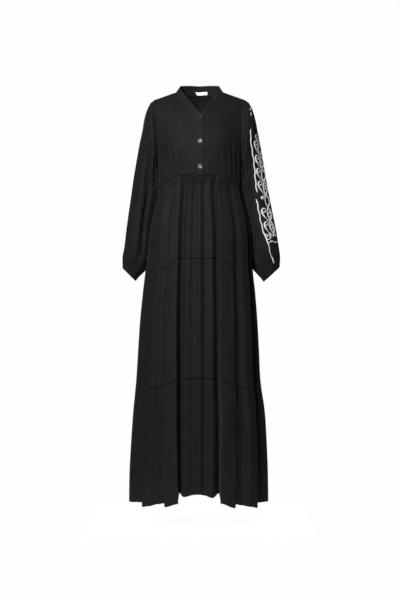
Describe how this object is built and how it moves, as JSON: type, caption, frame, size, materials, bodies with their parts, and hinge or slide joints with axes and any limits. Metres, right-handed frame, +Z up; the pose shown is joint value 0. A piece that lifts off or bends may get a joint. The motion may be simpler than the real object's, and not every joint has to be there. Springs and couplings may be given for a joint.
{
  "type": "shirt dress",
  "caption": "Long tiered shirt dress, filled out as worn: band collar, half placket, gathered tiers, long sleeves with gathered cuffs.",
  "frame": {"origin": "on the middle plane of the dress at the height of the shoulder seams, where the wearer's shoulders carry it", "axes": "+Z up along the length, -Y out of the front, +X to the wearer's left"},
  "size_m": [0.5525, 0.3206, 1.4553],
  "materials": {
    "crepe": "matt black crepe, slightly sheer in one layer",
    "crepe_band": "matt black crepe, two layers",
    "crepe_embroidered": "matt black crepe with off-white corded embroidery",
    "label": "bare white satin tape",
    "button": "pearly grey shell"
  },
  "bodies": {
    "root": {"bodice_front_right": "crepe", "bodice_front_left": "crepe", "bodice_back": "crepe", "placket_over": "crepe_band", "placket_under": "crepe_band", "collar_band": "crepe_band", "neck_label": "label", "sleeve_right": "crepe", "sleeve_left": "crepe_embroidered", "cuff_right": "crepe_band", "cuff_left": "crepe_band", "tier_upper_front": "crepe", "tier_upper_back": "crepe", "tier_middle_front": "crepe", "tier_middle_back": "crepe", "tier_lower_front": "crepe", "tier_lower_back": "crepe", "button_1": "button", "button_2": "button", "button_3": "button"}
  },
  "joints": []
}
